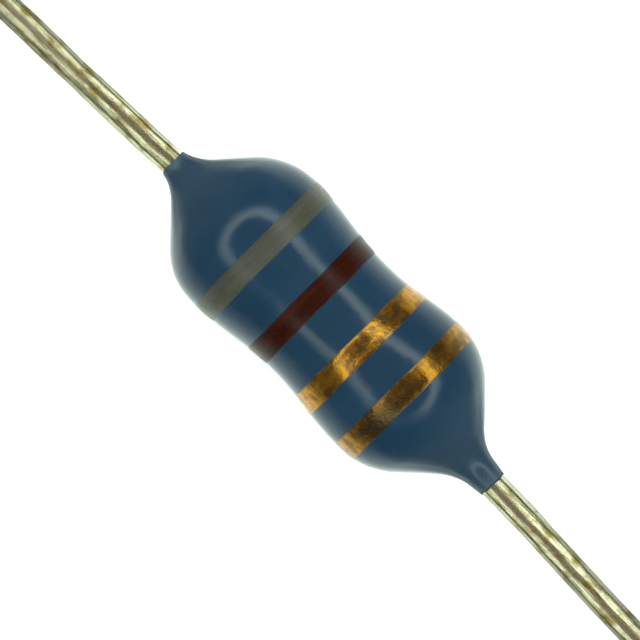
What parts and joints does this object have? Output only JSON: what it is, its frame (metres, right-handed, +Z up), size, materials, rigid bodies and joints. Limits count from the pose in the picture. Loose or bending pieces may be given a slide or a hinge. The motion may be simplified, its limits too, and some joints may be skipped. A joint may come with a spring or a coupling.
{
  "type": "axial inductor",
  "caption": "Axial wire-wound inductor: a waisted epoxy-dipped body with painted colour bands and a long tinned wire lead at each end.",
  "frame": {"origin": "middle of the part's bounding box, which is the lead axis at the middle of the body to within 1 mm", "axes": "+X along the body from the grey band to the last gold band, +Z up as it lies, away from the surface"},
  "size_m": [0.064, 0.0038, 0.0038],
  "materials": {
    "blue_epoxy": "glossy dipped epoxy",
    "grey_paint": "glossy paint band",
    "brown_paint": "glossy paint band",
    "gold_paint": "metallic gold paint band",
    "ferrite": "sintered, dull dark grey",
    "enamelled_copper": "glossy enamel over copper",
    "tinned_copper": "bright tinned wire, drawn lengthwise",
    "solder": "satin solder",
    "cement": "matt cured cement"
  },
  "bodies": {
    "root": {"epoxy_coat": "blue_epoxy", "band_1_grey": "grey_paint", "band_2_brown": "brown_paint", "band_3_gold": "gold_paint", "band_4_gold": "gold_paint", "ferrite_core": "ferrite", "winding": "enamelled_copper", "lead_left": "tinned_copper", "lead_right": "tinned_copper", "solder_joint_left": "solder", "solder_joint_right": "solder", "lead_cement_left": "cement", "lead_cement_right": "cement"}
  },
  "joints": []
}
